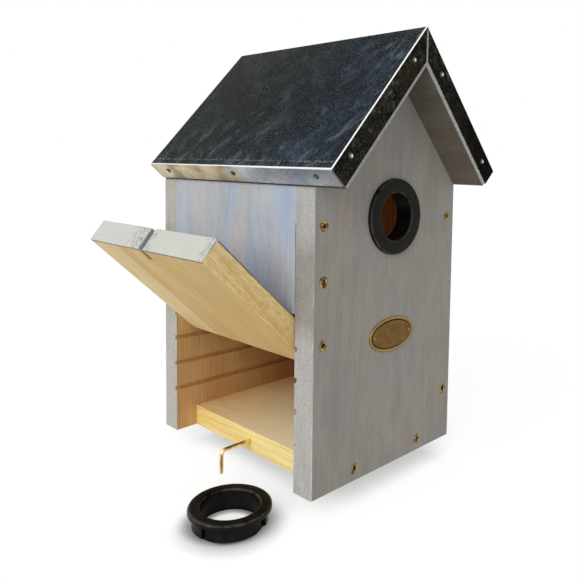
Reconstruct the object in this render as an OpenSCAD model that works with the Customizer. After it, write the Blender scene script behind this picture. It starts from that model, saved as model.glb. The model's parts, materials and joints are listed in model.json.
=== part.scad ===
// Wooden nest box for small birds. The front and back boards are gable shaped and carry the
// floor, the right wall and a short left panel between them. Below that panel a door swings up
// on two screws, and a wire hook turned across its notch keeps it shut. A folded zinc sheet
// covers the roof boards, and snap-in rings set the size of the entrance.
// Millimetres. X to the right, Y to the back, Z up. The origin is on the back face, mid-width,
// at the bottom edge.

/* [Box] */
// Width over the front board
body_width = 125; // [100:1:180]
// Depth over the front and back boards
body_depth = 149; // [120:1:200]
// Thickness of the wall boards
board = 14.5; // [10:0.5:20]
// Thickness of the floor board
floor_thickness = 13.5; // [9:0.5:20]
// Width of the broken edge along the boards
arris = 0.6; // [0.2:0.1:2]

/* [Roof] */
// Height of the ridge above the bottom
ridge_height = 260.6; // [220:0.1:320]
// Slope of the roof, in degrees from level
roof_pitch = 47.75; // [35:0.25:55]
// Length of one slope, ridge to eave
roof_slope = 109; // [100:1:150]
// Reach of the roof in front of the front board
front_overhang = 23.5; // [10:0.5:50]
// Thickness of the roof boards
roof_board = 14.5; // [10:0.5:20]
// Thickness of the zinc sheet
sheet = 0.6; // [0.4:0.1:1]
// Depth of the folded edge of the sheet
sheet_lip = 13; // [8:0.5:20]
// Inner radius of the folds
fold_radius = 0.6; // [0.3:0.1:1.5]
// Width of the mitre cut under the ridge, where the folded edges of both slopes meet
mitre_gap = 1.3; // [0.1:0.1:2]
// Width of the slit at the corners, where the eave's folded edge meets the gable's
corner_gap = 0.4; // [0.1:0.1:1]

/* [Door] */
// Thickness of the door
door_thickness = 13.5; // [9:0.5:20]
// Height of the pivot screws above the bottom
pivot_height = 84.5; // [75:0.5:95]
// Inner face of the door behind its pivot
pivot_to_inner = 7.7; // [5:0.1:10]
// Outer edge of the shut door's end above the bottom
door_rise = 1.3; // [0.5:0.1:5]
// How much shorter the inner edge of the door end is
door_bevel = 1.4; // [0:0.1:4]
// Radius that rounds the outer top edge of the door
door_round = 20; // [16:0.5:30]
// Start of that rounding below the pivot
door_round_start = 5.5; // [3:0.5:10]
// Radius of the door's upper corners
door_corner = 5; // [1:0.5:10]
// Room between the top of the swinging door and the panel above it
panel_clearance = 0.5; // [0.3:0.1:3]
// Gap between the door and each board
door_gap = 0.75; // [0.4:0.05:2]
// Opening angle of the door
door_angle = 133.1; // [0:0.1:135]
// Gap between the shut door and the floor
floor_gap = 0.3; // [0.2:0.1:2]

/* [Turn hook] */
// Diameter of the hook's wire
wire = 2.4; // [1.5:0.1:4]
// Height of the wire above the bottom
hook_height = 6.7; // [5:0.1:8]
// Place of the hook and the notch behind the front face
hook_back = 74.2; // [50:0.1:100]
// Reach of the wire in front of the floor
hook_reach = 21.2; // [17:0.1:30]
// Length of the turned-down leg below the wire
hook_leg = 14; // [10:0.5:30]
// Bend radius of the wire, at its middle
hook_bend = 3; // [2:0.1:5]
// Depth of the wire in the floor
hook_seat = 26; // [15:1:40]
// Width of the notch in the door
notch_width = 4.6; // [3:0.1:8]
// Length of the notch in the door
notch_length = 11; // [9:0.5:20]
// Width of the splintered edge round the wire's hole
hook_sink = 0.5; // [0.1:0.1:1.5]
// Running clearance round the wire and the pivot screws
run_clearance = 0.05; // [0.02:0.01:0.1]

/* [Ladder grooves] */
// Height of the lowest groove above the bottom
groove_first = 29; // [20:0.5:40]
// Distance between the grooves
groove_pitch = 17.4; // [12:0.1:25]
// Number of grooves
groove_count = 4; // [1:1:5]
// Height of one groove
groove_height = 3; // [1:0.5:6]
// Depth of one groove
groove_depth = 1.8; // [0.5:0.1:4]

/* [Entrance rings] */
// Height of the entrance above the bottom
entrance_height = 151.7; // [130:0.1:170]
// Place of the entrance right of the middle
entrance_side = 1.9; // [0:0.1:10]
// Diameter of the hole in the front board
entrance_bore = 40; // [34:1:46]
// Diameter of the flange of a ring
ring_flange = 45.6; // [42:0.2:60]
// Thickness of the flange
ring_lip = 2.8; // [2:0.1:5]
// Outer diameter of the sleeve of a ring
ring_sleeve = 37; // [33:0.5:40]
// Length of the sleeve behind the flange
ring_depth = 9.6; // [5:0.1:12]
// Rounding of the flange edge
ring_edge = 1.8; // [0.5:0.1:2.8]
// Rounding of the hole edge
ring_rim = 1.8; // [0.5:0.1:2.5]
// Hole diameter of the fitted ring
fitted_hole = 28; // [25:1:30]
// Hole diameter of the spare ring
spare_hole = 32; // [28:1:34]
// How far the barbs of a free ring stand out beyond the hole in the board
barb_grip = 0.5; // [0:0.1:1.5]
// Number of barbs on a ring
barb_count = 4; // [3:1:6]
// Gap between two barbs
barb_gap = 8.8; // [5:0.1:14]
// Start of the barbs behind the flange
barb_start = 1.5; // [1:0.1:4]
// Room between the widest part of a barb and the end of the sleeve
barb_end = 2; // [1:0.1:4]
// How far a barb leans out from its start to its widest part
barb_lean = 0.9; // [0.2:0.1:1.5]
// Broken edge at the end of the sleeve
sleeve_chamfer = 0.7; // [0.2:0.1:1.5]
// Place of the spare ring left of the middle
spare_left = 89.2; // [90:0.1:160]
// Place of the spare ring behind the front face
spare_back = 35.9; // [0:0.1:120]
// Height of the spare ring's underside
spare_bottom = -16; // [-25:0.1:0]
// Turn of the spare ring
spare_turn = 66; // [0:0.1:90]

/* [Screws and nails] */
// Shank diameter of the screws
screw_shank = 3.2; // [2.5:0.1:5]
// Head diameter of the screws
screw_head = 6.3; // [5:0.1:10]
// Length of the screws
screw_length = 40; // [30:1:50]
// Width of one arm of the cross recess
recess_width = 1.2; // [0.5:0.1:1.5]
// Depth of the cross recess
recess_depth = 1.2; // [0.5:0.1:2]
// Upper screw of the left panel and the right wall below the boards' shoulders
upper_screw_drop = 19.9; // [15:0.1:40]
// Lower screw of the left panel above the panel's lower edge
panel_screw_rise = 18.6; // [12:0.1:30]
// Height of the lower screw of the right wall
wall_screw = 33.4; // [20:0.5:60]
// Height of the floor screws
floor_screw = 7.2; // [5:0.1:9]
// Distance of the floor screws from the middle
floor_screw_side = 29; // [15:0.5:40]
// Shank diameter of the roof nails
nail_shank = 1.6; // [1:0.1:3]
// Head diameter of the roof nails
nail_head = 3.6; // [3:0.1:7]
// Height of a nail head
nail_dome = 1; // [0.5:0.1:2]
// Length of the roof nails
nail_length = 12; // [8:1:14]
// Upper nail of the left gable edge, down the slope from the ridge
left_nail_top = 23; // [18:0.1:50]
// Upper nail of the right gable edge, down the slope from the ridge
right_nail_top = 28.3; // [18:0.1:50]
// Lower nails of the gable edges above the eave, along the slope
gable_nail_rise = 14; // [10:0.1:30]
// Depth of the left gable nails below the top of the sheet
left_nail_drop = 5.3; // [4:0.1:10]
// Depth of the right gable nails below the top of the sheet
right_nail_drop = 7; // [4:0.1:10]
// Depth of the eave nails below the top of the sheet
eave_nail_drop = 6; // [4:0.1:10]
// First eave nail behind the front edge of the roof
eave_nail_first = 15.8; // [8:0.1:40]
// Distance between the eave nails
eave_nail_pitch = 70.6; // [40:0.1:90]
// Number of nails on one eave
eave_nail_count = 3; // [1:1:4]
// Clearance round fixed screws and nails
fix_clearance = 0.15; // [0.05:0.05:0.5]
// Diameter of the hanging hole in the back board
hanging_bore = 6; // [4:0.5:10]
// Hanging hole below the peak of the back board
hanging_drop = 26; // [15:1:50]

/* [Quality] */
// Facets of the curved surfaces
$fn = 64; // [24:8:128]
// Part to show

/* [Hidden] */
eps = 0.01;
far = 400;
half = body_width / 2;
front_y = -body_depth;
front_inner = front_y + board;
back_inner = -board;
inner_depth = back_inner - front_inner;
side_x = half - board / 2;
inner_x = half - board;
roof_front = front_y - front_overhang;
skin = roof_board + sheet;
under_ridge = ridge_height - skin / cos(roof_pitch);
pivot_to_outer = door_thickness - pivot_to_inner;
shoulder = under_ridge - half * tan(roof_pitch);
door_drop = pivot_height - door_rise;
round_across = pivot_to_inner + pivot_to_outer - door_round;
door_top = sqrt(pow(door_round, 2) - pow(round_across, 2)) - door_round_start;
panel_bottom = pivot_height + norm([pivot_to_inner, door_top]) + panel_clearance;
upper_screw = shoulder - upper_screw_drop;
hanging_height = under_ridge - hanging_drop;
floor_left = -side_x + pivot_to_inner + floor_gap;
hook_y = front_y + hook_back;
ring_r = entrance_bore / 2;
spare_top = spare_bottom + ring_depth;
head_depth = (screw_head - screw_shank) / 2;
dome_r = (pow(nail_head / 2, 2) + pow(nail_dome, 2)) / (2 * nail_dome);

// ---- shapes that several pieces share ----

// A point s down the right slope and t out of the top of the sheet, as [x, z].
function on_slope(s, t) = [s * cos(roof_pitch) + t * sin(roof_pitch),
  ridge_height - s * sin(roof_pitch) + t * cos(roof_pitch)];

// Puts its children in the frame of the right slope: X down the slope, Z out of it.
module right_slope() {
  translate([0, 0, ridge_height])
    rotate([0, roof_pitch, 0])
      children();
}

// Extrudes a drawing of X and Z along Y, from y0 to y1.
module along_y(y0, y1) {
  translate([0, y1, 0])
    rotate([90, 0, 0])
      linear_extrude(y1 - y0)
        children();
}

// Half of the roof's section, from t0 down to t1, with its ridge and eave edges rounded by r
// or, where round is false, cut flat.
module slope_section(t0, t1, s_end, r, round) {
  s0 = r * tan(roof_pitch);
  top = on_slope(s0, t0);
  polygon([[0, top[1]], top, on_slope(s_end - r, t0), on_slope(s_end, t0 - r),
    on_slope(s_end, t1), [0, ridge_height + t1 / cos(roof_pitch)]]);
  if (round) {
    translate(on_slope(s_end - r, t0 - r))
      circle(r);
    translate([0, ridge_height + (t0 - r) / cos(roof_pitch)])
      circle(r);
  }
}

// The front and back edges of one slope, rounded or cut flat in the same way.
module edge_section(t0, t1, y0, y1, r, round) {
  polygon([[y0 + r, t0], [y1 - r, t0], [y1, t0 - r], [y1, t1], [y0, t1], [y0, t0 - r]]);
  if (round)
    for (y = [y0 + r, y1 - r])
      translate([y, t0 - r])
        circle(r);
}

// One solid slope of the roof, on the right of the ridge.
module slope_block(t0, t1, s_end, y0, y1, r, round) {
  intersection() {
    along_y(y0, y1)
      slope_section(t0, t1, s_end, r, round);
    right_slope()
      translate([-roof_slope, 0, 0])
        rotate([90, 0, 90])
          linear_extrude(3 * roof_slope)
            edge_section(t0, t1, y0, y1, r, round);
    translate([0, roof_front - far, -far])
      cube([far, 2 * far, 2 * far]);
  }
}

// Both slopes of the roof as one solid.
module roof_block(t0, t1, s_end, y0, y1, r, round) {
  for (m = [0, 1])
    mirror([m, 0, 0])
      slope_block(t0, t1, s_end, y0, y1, r, round);
}

// The gable outline of the front and back boards.
module gable() {
  polygon([[-half, 0], [half, 0], [half, shoulder], [0, under_ridge], [-half, shoulder]]);
}

// Breaks the two upright edges of a board's outer face, which is at y.
module upright_arrises(y) {
  for (x = [-half, half])
    translate([x, y, shoulder / 2])
      rotate([0, 0, 45])
        cube([arris * sqrt(2), arris * sqrt(2), ridge_height], center = true);
}

// Grooves across a board whose inner face is at y; they are cut towards side.
module ladder_grooves(y, side) {
  for (i = [0:groove_count - 1])
    translate([-half - 1, side < 0 ? y - groove_depth : y - 1,
      groove_first + i * groove_pitch - groove_height / 2])
      cube([body_width + 2, groove_depth + 1, groove_height]);
}

// A countersunk screw that points down from z = 0; extra is the clearance of its hole.
module screw_body(length, extra) {
  translate([0, 0, -head_depth])
    cylinder(r1 = screw_shank / 2 + extra, r2 = screw_head / 2 + extra, h = head_depth);
  translate([0, 0, -length + screw_shank])
    cylinder(r = screw_shank / 2 + extra, h = length - screw_shank - head_depth + eps);
  translate([0, 0, -length - extra])
    cylinder(r1 = 0.2 + extra, r2 = screw_shank / 2 + extra, h = screw_shank + extra);
}

module screw(turn) {
  difference() {
    screw_body(screw_length, 0);
    for (a = [turn, turn + 90])
      rotate([0, 0, a])
        translate([-screw_shank / 2, -recess_width / 2, -recess_depth])
          cube([screw_shank, recess_width, recess_depth + 1]);
  }
}

// The hole for a screw, open above the board.
module screw_hole(extra) {
  screw_body(screw_length, extra);
  translate([0, 0, -eps])
    cylinder(r = screw_head / 2 + extra, h = 1);
}

// Puts its children on the front face, or on the back face where back is true.
module on_board(x, z, back) {
  translate([x, back ? 0 : front_y, z])
    rotate([back ? -90 : 90, 0, 0])
      children();
}

// Places of the fixed screws of one board, as [x, z, turn].
panel_places = [[-side_x, upper_screw, 20], [-side_x, panel_bottom + panel_screw_rise, 60]];
wall_places = [[side_x, upper_screw, 5], [side_x, wall_screw, 35]];
floor_places = [[-floor_screw_side, floor_screw, 50], [floor_screw_side, floor_screw, 75]];

module screws(places, back) {
  for (p = places)
    on_board(p[0], p[1], back)
      screw(p[2]);
}

module fixed_screw_holes() {
  for (back = [false, true])
    for (p = concat(panel_places, wall_places, floor_places))
      on_board(p[0], p[1], back)
        screw_hole(fix_clearance);
}

module pivot_screw_holes() {
  for (back = [false, true])
    on_board(-side_x, pivot_height, back)
      screw_hole(run_clearance);
}

// A domed nail that points down from z = 0.
module nail() {
  intersection() {
    translate([0, 0, nail_dome - dome_r])
      sphere(dome_r);
    cylinder(r = nail_head, h = nail_dome + 1);
  }
  translate([0, 0, -nail_length])
    cylinder(r = nail_shank / 2, h = nail_length + nail_dome / 2);
}

module nail_hole() {
  translate([0, 0, -nail_length - fix_clearance])
    cylinder(r = nail_shank / 2 + fix_clearance, h = nail_length + 3);
}

// Puts its children at the nails of one gable edge.
module at_gable_nails(left) {
  top = left ? left_nail_top : right_nail_top;
  mirror([left ? 1 : 0, 0, 0])
    for (s = [top, roof_slope - gable_nail_rise])
      right_slope()
        translate([s, roof_front, left ? -left_nail_drop : -right_nail_drop])
          rotate([90, 0, 0])
            children();
}

// Puts its children at the nails of one eave.
module at_eave_nails(left) {
  mirror([left ? 1 : 0, 0, 0])
    for (i = [0:eave_nail_count - 1])
      right_slope()
        translate([roof_slope, roof_front + eave_nail_first + i * eave_nail_pitch,
          -eave_nail_drop])
          rotate([0, 90, 0])
            children();
}

module roof_nail_holes() {
  for (left = [false, true]) {
    at_gable_nails(left)
      nail_hole();
    at_eave_nails(left)
      nail_hole();
  }
}

// ---- walls and floor ----

module front_wall() {
  color("LightSteelBlue")
    difference() {
      along_y(front_y, front_inner)
        gable();
      translate([entrance_side, front_y - 1, entrance_height])
        rotate([-90, 0, 0])
          cylinder(r = ring_r, h = board + 2);
      ladder_grooves(front_inner, -1);
      upright_arrises(front_y);
      fixed_screw_holes();
      pivot_screw_holes();
    }
}

module back_wall() {
  color("LightSteelBlue")
    difference() {
      along_y(back_inner, 0)
        gable();
      translate([0, back_inner - 1, hanging_height])
        rotate([-90, 0, 0])
          cylinder(r = hanging_bore / 2, h = board + 2);
      ladder_grooves(back_inner, 1);
      upright_arrises(0);
      fixed_screw_holes();
      pivot_screw_holes();
    }
}

// A wall between the boards, from z up to the underside of the roof.
module side_wall(z) {
  along_y(front_inner, back_inner)
    polygon([[inner_x, z], [half, z], [half, shoulder],
      [inner_x, under_ridge - inner_x * tan(roof_pitch)]]);
}

module right_wall() {
  color("SlateGray")
    difference() {
      side_wall(0);
      fixed_screw_holes();
    }
}

module upper_left_panel() {
  color("SlateGray")
    difference() {
      mirror([1, 0, 0])
        side_wall(panel_bottom);
      fixed_screw_holes();
    }
}

module floor_board() {
  color("BurlyWood")
    difference() {
      translate([floor_left, front_inner, 0])
        cube([inner_x - floor_left, inner_depth, floor_thickness]);
      translate([floor_left - 1, hook_y, hook_height])
        rotate([0, 90, 0])
          cylinder(r = wire / 2 + run_clearance, h = hook_seat + 1.5);
      translate([floor_left, hook_y, hook_height])
        rotate([0, 90, 0])
          cylinder(r1 = wire / 2 + hook_sink, r2 = wire / 2, h = hook_sink);
      fixed_screw_holes();
    }
}

// ---- door and turn hook ----

// The door's section, shut, with the pivot at the origin.
module door_section() {
  difference() {
    polygon([[-pivot_to_outer, -door_drop], [pivot_to_inner, -door_drop + door_bevel],
      [pivot_to_inner, door_top], [-pivot_to_outer, door_top]]);
    difference() {
      translate([-pivot_to_outer - 1, -door_round_start])
        square([door_thickness + 2, door_round]);
      translate([door_round - pivot_to_outer, -door_round_start])
        circle(door_round, $fn = 2 * $fn);
    }
  }
}

// The door's outline seen from the left, with rounded upper corners.
module door_outline() {
  y0 = front_inner + door_gap;
  y1 = back_inner - door_gap;
  polygon([[y0, -door_drop - 1], [y1, -door_drop - 1], [y1, door_top - door_corner],
    [y1 - door_corner, door_top], [y0 + door_corner, door_top],
    [y0, door_top - door_corner]]);
  for (y = [y0 + door_corner, y1 - door_corner])
    translate([y, door_top - door_corner])
      circle(door_corner);
}

module shut_door() {
  difference() {
    intersection() {
      along_y(front_y, 0)
        door_section();
      translate([-far / 2, 0, 0])
        rotate([90, 0, 90])
          linear_extrude(far)
            door_outline();
    }
    translate([-door_thickness, hook_y - notch_width / 2, -door_drop - 1])
      cube([2 * door_thickness, notch_width, notch_length + 1]);
    translate([side_x, 0, -pivot_height])
      pivot_screw_holes();
  }
}

module door() {
  color("Khaki")
    translate([-side_x, 0, pivot_height])
      rotate([0, door_angle, 0])
        shut_door();
}

module turn_hook() {
  bend_x = floor_left - hook_reach;
  color("Goldenrod")
    translate([0, hook_y, hook_height]) {
      translate([bend_x + hook_bend, 0, 0])
        rotate([0, 90, 0])
          cylinder(r = wire / 2, h = hook_reach - hook_bend + hook_seat);
      translate([bend_x + hook_bend, 0, -hook_bend])
        rotate([90, 0, 0])
          intersection() {
            rotate_extrude()
              translate([hook_bend, 0])
                circle(wire / 2);
            translate([-far, 0, -far / 2])
              cube([far, far, far]);
          }
      translate([bend_x, 0, -hook_leg])
        cylinder(r = wire / 2, h = hook_leg - hook_bend);
    }
}

// ---- roof ----

module left_roof_board() {
  color("Tan")
    difference() {
      mirror([1, 0, 0])
        slope_block(-sheet, -skin, roof_slope - sheet, roof_front + sheet, -sheet,
          fold_radius, false);
      roof_nail_holes();
    }
}

module right_roof_board() {
  color("Tan")
    difference() {
      slope_block(-sheet, -skin, roof_slope - sheet, roof_front + sheet, -sheet,
        fold_radius, false);
      roof_nail_holes();
    }
}

// The cuts that let the flat sheet fold: under both ends of the ridge, and beside the corners.
module mitre_cuts() {
  drop = fold_radius + sheet;
  for (y = [roof_front - 1, -sheet - eps])
    translate([-mitre_gap / 2, y, ridge_height - far / 4])
      cube([mitre_gap, sheet + 1 + eps, far / 4 - 2 * drop]);
  for (m = [0, 1])
    mirror([m, 0, 0])
      right_slope()
        for (y = [roof_front + sheet, -sheet - corner_gap])
          translate([roof_slope - sheet - eps, y, -2 * sheet_lip])
            cube([sheet + 1, corner_gap, 2 * sheet_lip - 1.5 * drop]);
}

module roof_sheet() {
  color("DimGray")
    difference() {
      roof_block(0, -sheet_lip, roof_slope, roof_front, 0, fold_radius + sheet, true);
      roof_block(-sheet, -sheet_lip - 10, roof_slope - sheet, roof_front + sheet, -sheet,
        fold_radius, true);
      mitre_cuts();
      roof_nail_holes();
    }
}

// ---- entrance rings ----

// A snap-in ring, flange up, with the flange's underside at z = 0.
module snap_ring(hole, barb_r) {
  r0 = hole / 2;
  r1 = ring_flange / 2;
  rs = ring_sleeve / 2;
  rotate_extrude() {
    polygon([[r0, -ring_depth], [rs - sleeve_chamfer, -ring_depth],
      [rs, -ring_depth + sleeve_chamfer], [rs, 0], [r1, 0], [r1, ring_lip - ring_edge],
      [r1 - ring_edge, ring_lip], [r0 + ring_rim, ring_lip], [r0, ring_lip - ring_rim]]);
    intersection() {
      square([r1, ring_lip]);
      translate([r1 - ring_edge, ring_lip - ring_edge])
        circle(ring_edge);
    }
    intersection() {
      square([r1, ring_lip]);
      translate([r0 + ring_rim, ring_lip - ring_rim])
        circle(ring_rim);
    }
  }
  difference() {
    rotate_extrude()
      polygon([[rs - 1, -barb_start], [barb_r - barb_lean, -barb_start],
        [barb_r, -ring_depth + barb_end], [rs, -ring_depth + sleeve_chamfer],
        [rs - 1, -ring_depth + sleeve_chamfer]]);
    for (i = [0:barb_count - 1])
      rotate([0, 0, (i + 0.5) * 360 / barb_count])
        translate([rs - 1 - eps, -barb_gap / 2, -ring_depth - 1])
          cube([barb_r, barb_gap, ring_depth]);
  }
}

module entrance_ring() {
  color("DarkSlateGray")
    translate([entrance_side, front_y, entrance_height])
      rotate([90, 0, 0])
        rotate([0, 0, 180 / barb_count])
          snap_ring(fitted_hole, ring_r - fix_clearance);
}

module spare_ring() {
  color("DarkSlateGray")
    translate([-spare_left, front_y + spare_back, spare_top])
      rotate([0, 0, spare_turn])
        snap_ring(spare_hole, ring_r + barb_grip);
}

// ---- screws and nails ----

module pivot_screw(back) {
  color("Gold")
    on_board(-side_x, pivot_height, back)
      screw(back ? 40 : 15);
}

module screw_set(places, back) {
  color("Gold")
    screws(places, back);
}

module gable_nails(left) {
  color("Silver")
    at_gable_nails(left)
      nail();
}

module eave_nails(left) {
  color("Silver")
    at_eave_nails(left)
      nail();
}

front_wall();
back_wall();
right_wall();
upper_left_panel();
floor_board();
door();
left_roof_board();
right_roof_board();
roof_sheet();
entrance_ring();
spare_ring();
turn_hook();
pivot_screw(false);  // front_pivot_screw
pivot_screw(true);  // back_pivot_screw
screw_set(panel_places, false);  // front_panel_screws
screw_set(panel_places, true);  // back_panel_screws
screw_set(wall_places, false);  // front_wall_screws
screw_set(wall_places, true);  // back_wall_screws
screw_set(floor_places, false);  // front_floor_screws
screw_set(floor_places, true);  // back_floor_screws
gable_nails(true);  // front_left_nails
gable_nails(false);  // front_right_nails
eave_nails(true);  // left_eave_nails
eave_nails(false);  // right_eave_nails
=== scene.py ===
import json
import math

import bmesh
import bpy
from mathutils import Euler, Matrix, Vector


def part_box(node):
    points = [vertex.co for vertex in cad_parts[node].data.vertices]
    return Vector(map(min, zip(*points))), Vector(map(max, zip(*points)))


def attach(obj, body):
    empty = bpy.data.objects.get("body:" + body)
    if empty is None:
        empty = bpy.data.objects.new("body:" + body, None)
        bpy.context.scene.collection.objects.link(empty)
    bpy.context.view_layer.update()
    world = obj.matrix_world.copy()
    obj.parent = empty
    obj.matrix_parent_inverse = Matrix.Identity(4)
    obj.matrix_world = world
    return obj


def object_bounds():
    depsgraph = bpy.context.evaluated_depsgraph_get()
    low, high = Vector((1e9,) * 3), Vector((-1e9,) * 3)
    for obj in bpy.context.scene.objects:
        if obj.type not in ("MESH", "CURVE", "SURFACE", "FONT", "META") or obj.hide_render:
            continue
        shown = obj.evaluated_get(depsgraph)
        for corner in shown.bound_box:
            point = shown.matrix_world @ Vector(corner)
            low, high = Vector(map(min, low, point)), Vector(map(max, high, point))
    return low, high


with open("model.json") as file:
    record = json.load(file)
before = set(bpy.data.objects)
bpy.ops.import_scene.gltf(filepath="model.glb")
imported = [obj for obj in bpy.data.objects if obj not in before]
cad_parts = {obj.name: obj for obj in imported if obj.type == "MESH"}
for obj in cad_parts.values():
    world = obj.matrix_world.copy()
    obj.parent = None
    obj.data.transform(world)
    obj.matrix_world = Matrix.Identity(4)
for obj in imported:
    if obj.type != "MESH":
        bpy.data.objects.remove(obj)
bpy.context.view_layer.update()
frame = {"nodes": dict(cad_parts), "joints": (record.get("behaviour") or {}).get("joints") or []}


# ---- Wall boards ----
# Planed spruce boards, stood on end, with a thin grey glaze brushed on the outside after the
# ladder grooves and holes were cut. The chamber side stays bare, as birds need it. The front and
# back boards are screwed onto the ends of the right wall and the short left panel.

parts = frame["nodes"]
MM = 0.001


def linear(code):
    """An sRGB hex colour as the linear colour that a shader takes."""
    values = [int(code[i:i + 2], 16) / 255 for i in (0, 2, 4)]
    return [v / 12.92 if v <= 0.04045 else ((v + 0.055) / 1.055) ** 2.4 for v in values] + [1]


def connect(mat, made, sockets):
    """Sets a node's inputs, or links them where the value is another node's output."""
    for key, value in sockets.items():
        if isinstance(value, bpy.types.NodeSocket):
            mat.node_tree.links.new(value, made.inputs[key])
        else:
            made.inputs[key].default_value = value


def add(mat, kind, sockets=None, out=0, stops=None, **settings):
    """Adds a node with its settings and links, and returns one of its outputs.
    stops are a colour ramp's, as [(place, hex colour), ...]."""
    made = mat.node_tree.nodes.new("ShaderNode" + kind)
    for name, value in settings.items():
        setattr(made, name, value)
    connect(mat, made, sockets or {})
    if stops:
        ramp = made.color_ramp.elements
        while len(ramp) < len(stops):
            ramp.new(0.5)
        for stop, (place, code) in zip(ramp, stops):
            stop.position = place
            stop.color = linear(code)
    return made.outputs[out]


def new_material(name):
    mat = bpy.data.materials.new(name)
    mat.use_nodes = True
    return mat


def surface(mat, sockets):
    """Sets or links the sockets of the material's shader."""
    connect(mat, mat.node_tree.nodes["Principled BSDF"], sockets)


def stain(mat, where, code):
    """Puts a colour over the finished surface where a mask is 1."""
    finish = mat.node_tree.nodes["Principled BSDF"].inputs["Base Color"].links[0].from_socket
    surface(mat, {"Base Color": add(mat, "MixRGB", {0: where, 1: finish, 2: linear(code)})})


def dress(mat, *names):
    for name in names:
        for slot in parts[name].material_slots:
            slot.material = mat


def timber_place(mat, turn, origin=(0, 0, 0)):
    """The place in the board in mm from origin, with the board's length turned to Z."""
    place = add(mat, "TexCoord", out="Object")
    place = add(mat, "VectorMath", {0: place, 1: origin}, operation="SUBTRACT")
    return add(mat, "Mapping", {"Vector": place, "Rotation": turn, "Scale": (1000, 1000, 1000)})


def stretched(mat, place, across, along, detail=2.0, out=0, roughness=0.5):
    """Noise with features of these lengths in mm, across and along the board."""
    scaled = add(mat, "Mapping", {"Vector": place, "Scale": (1 / across, 1 / across, 1 / along)})
    return add(mat, "TexNoise", {"Vector": scaled, "Scale": 1.0, "Detail": detail,
                                 "Roughness": roughness}, out=out)


def growth_rings(mat, place, pith, ring):
    """0 in the pale early wood, rising to 1 in the dark late wood of each yearly ring. pith is the
    middle of the tree and ring the width of one year, in mm."""
    wander = stretched(mat, place, 60, 320, 1.0, out="Color")
    wander = add(mat, "VectorMath", {0: wander, 1: (0.5, 0.5, 0.5)}, operation="SUBTRACT")
    wander = add(mat, "VectorMath", {0: wander, 1: (16, 16, 0), 2: place},
                 operation="MULTIPLY_ADD")
    centred = add(mat, "VectorMath", {0: wander, 1: pith}, operation="SUBTRACT")
    flat = add(mat, "VectorMath", {0: centred, 1: (1, 1, 0)}, operation="MULTIPLY")
    radius = add(mat, "VectorMath", {0: flat}, out="Value", operation="LENGTH")
    # A tree tapers, so the rings run out of a sawn board's face by about 1 in 60.
    length = add(mat, "SeparateXYZ", {0: place}, out="Z")
    radius = add(mat, "Math", {0: length, 1: 1 / 60, 2: radius}, operation="MULTIPLY_ADD")
    years = add(mat, "Math", {0: radius, 1: ring}, operation="DIVIDE")
    phase = add(mat, "Math", {0: years}, operation="FRACT")
    return add(mat, "ValToRGB", {0: phase}, stops=[
        (0.0, "000000"), (0.5, "202020"), (0.78, "707070"), (0.9, "ffffff"), (0.97, "606060"),
        (1.0, "000000")])


def raised_fibres(mat, place):
    """The fine relief of planed softwood, about 0.1 mm deep."""
    fibre = stretched(mat, place, 0.8, 14, 3.0, roughness=0.7)
    return add(mat, "Bump", {"Strength": 0.4, "Distance": 0.0001, "Height": fibre})


def bare_pine(mat, place, rings, pale, late):
    """The colour of planed, untreated pine: pale wood, darker late wood, faint fibres."""
    wood = add(mat, "MixRGB", {0: rings, 1: linear(pale), 2: linear(late)})
    fibre = stretched(mat, place, 0.9, 26, 3.0, roughness=0.7)
    fibre = add(mat, "ValToRGB", {0: fibre}, stops=[(0.3, "e4d9c6"), (0.6, "ffffff")])
    wood = add(mat, "MixRGB", {0: 0.8, 1: wood, 2: fibre}, blend_type="MULTIPLY")
    cloud = stretched(mat, place, 22, 90, 2.0)
    cloud = add(mat, "ValToRGB", {0: cloud}, stops=[(0.32, "f0e2cc"), (0.6, "ffffff")])
    return add(mat, "MixRGB", {0: 0.7, 1: wood, 2: cloud}, blend_type="MULTIPLY")


def grey_glaze(mat, place, rings, cool, warm, width=7, mottled=0.5):
    """The colour of the thin grey glaze: soft streaks along the board, and where the brush left
    less it turns warmer. width is that of a streak, in mm."""
    streak = stretched(mat, place, width, 7 * width, 3.0)
    streak = add(mat, "ValToRGB", {0: streak}, stops=[(0.4, "000000"), (0.64, "ffffff")])
    coat = add(mat, "MixRGB", {0: streak, 1: linear(cool), 2: linear(warm)})
    cloud = stretched(mat, place, 20, 50, 4.0, roughness=0.6)
    cloud = add(mat, "ValToRGB", {0: cloud}, stops=[
        (0.36, "f0f2f0"), (0.5, "fffefc"), (0.64, "f8f5f4")])
    coat = add(mat, "MixRGB", {0: 1.0, 1: coat, 2: cloud}, blend_type="MULTIPLY")
    fibre = stretched(mat, place, 1.1, 22, 3.0, roughness=0.7)
    fibre = add(mat, "ValToRGB", {0: fibre}, stops=[(0.34, "eeebe8"), (0.6, "ffffff")])
    coat = add(mat, "MixRGB", {0: 0.6, 1: coat, 2: fibre}, blend_type="MULTIPLY")
    # Pigment gathers in the pores as a fine mottle, drawn at 1 mm so that it shows.
    mottle = stretched(mat, place, 1.0, 1.5, 3.0, roughness=0.8)
    mottle = add(mat, "ValToRGB", {0: mottle}, stops=[(0.36, "e2e1de"), (0.58, "ffffff")])
    coat = add(mat, "MixRGB", {0: mottled, 1: coat, 2: mottle}, blend_type="MULTIPLY")
    # The late wood is dense and took less of the pigment, so its warm colour shows through.
    patchy = stretched(mat, place, 12, 40, 2.0)
    patchy = add(mat, "MapRange", {"Value": patchy, "From Min": 0.38, "From Max": 0.66,
                                   "To Min": 0.1, "To Max": 0.9})
    thin = add(mat, "Math", {0: rings, 1: patchy}, operation="MULTIPLY")
    warmer = add(mat, "MixRGB", {0: 1.0, 1: coat, 2: linear("fcebdc")}, blend_type="MULTIPLY")
    return add(mat, "MixRGB", {0: thin, 1: coat, 2: warmer})


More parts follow.
